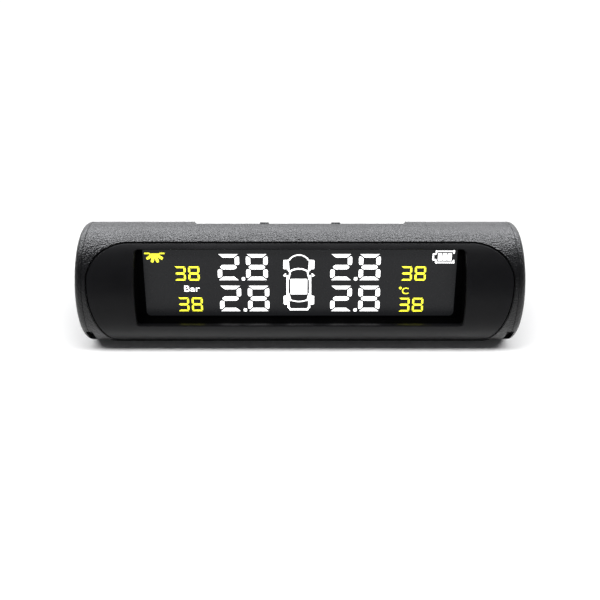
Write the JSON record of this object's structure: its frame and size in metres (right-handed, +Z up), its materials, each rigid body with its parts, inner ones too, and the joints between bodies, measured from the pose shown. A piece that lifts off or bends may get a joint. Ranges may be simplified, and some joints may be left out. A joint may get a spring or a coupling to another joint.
{
  "type": "tyre pressure monitor",
  "caption": "Tube-shaped dashboard display for tyre pressure and temperature, with a solar panel, rear buttons, a charging socket and an adhesive pad.",
  "frame": {"origin": "on the surface it stands on, under the middle of the tube", "axes": "+X along the tube to the driver's right, -Y towards the driver, +Z up"},
  "size_m": [0.115, 0.032, 0.0322],
  "materials": {
    "board_white": "laminate",
    "button_rubber": "soft matte",
    "chip_black": "moulded epoxy",
    "circuit_board": "solder mask over woven laminate",
    "clear_acrylic": "clear, dotted",
    "clear_glass": "clear",
    "contact_rubber": "banded",
    "copper_wire": "enamelled",
    "display_face": "smooth, dark grey",
    "foam_tape": "closed-cell foam",
    "lead_plastic": "insulated wire",
    "mask_black": "dull, light-absorbing",
    "pad_grey": "tacky foam",
    "pouch_foil": "foil pouch",
    "satin_black": "smooth satin",
    "solar_cell_blue": "dark crystalline with silver lines",
    "solar_cover_clear": "clear, glossy",
    "steel_screw": "plated",
    "switch_black": "moulded",
    "textured_black": "fine grained, moulded",
    "tin_plate": "drawn, bright",
    "white_film": "diffusing",
    "white_plastic": "smooth"
  },
  "bodies": {
    "monitor": {"adhesive_pad": "pad_grey", "antenna_coil": "copper_wire", "backlight_strip": "board_white", "base_cover": "textured_black", "base_screws": "steel_screw", "battery": "pouch_foil", "battery_foam": "foam_tape", "battery_leads": "lead_plastic", "board_screws": "steel_screw", "button_board": "circuit_board", "button_board_screws": "steel_screw", "buzzer": "switch_black", "charging_socket": "tin_plate", "controller_chip": "chip_black", "crystal": "tin_plate", "diffuser_sheet": "white_film", "display_bezel": "mask_black", "display_connector": "contact_rubber", "display_front_glass": "clear_glass", "display_front_polariser": "display_face", "display_rear_glass": "clear_glass", "display_rear_polariser": "display_face", "display_tray": "white_plastic", "front_fascia": "satin_black", "housing": "textured_black", "left_end_cap": "textured_black", "light_guide": "clear_acrylic", "main_board": "circuit_board", "radio_module": "circuit_board", "radio_shield": "tin_plate", "reflector_sheet": "white_film", "right_end_cap": "textured_black", "solar_backing": "board_white", "solar_cells": "solar_cell_blue", "solar_cover": "solar_cover_clear", "solar_leads": "lead_plastic", "solar_tape": "foam_tape", "switches": "switch_black"},
    "left_key": {"left_button": "button_rubber", "left_plunger": "switch_black"},
    "centre_key": {"centre_button": "button_rubber", "centre_plunger": "switch_black"},
    "right_key": {"right_button": "button_rubber", "right_plunger": "switch_black"}
  },
  "joints": [
    {"name": "left_press", "type": "slide", "parent": "monitor", "child": "left_key", "axis": [0, -0.8387, 0.5446], "range_m": [0, 0.0004], "stiffness_N_per_m": 2500, "springref_m": -0.0002},
    {"name": "centre_press", "type": "slide", "parent": "monitor", "child": "centre_key", "axis": [0, -0.8387, 0.5446], "range_m": [0, 0.0004], "stiffness_N_per_m": 2500, "springref_m": -0.0002},
    {"name": "right_press", "type": "slide", "parent": "monitor", "child": "right_key", "axis": [0, -0.8387, 0.5446], "range_m": [0, 0.0004], "stiffness_N_per_m": 2500, "springref_m": -0.0002}
  ]
}
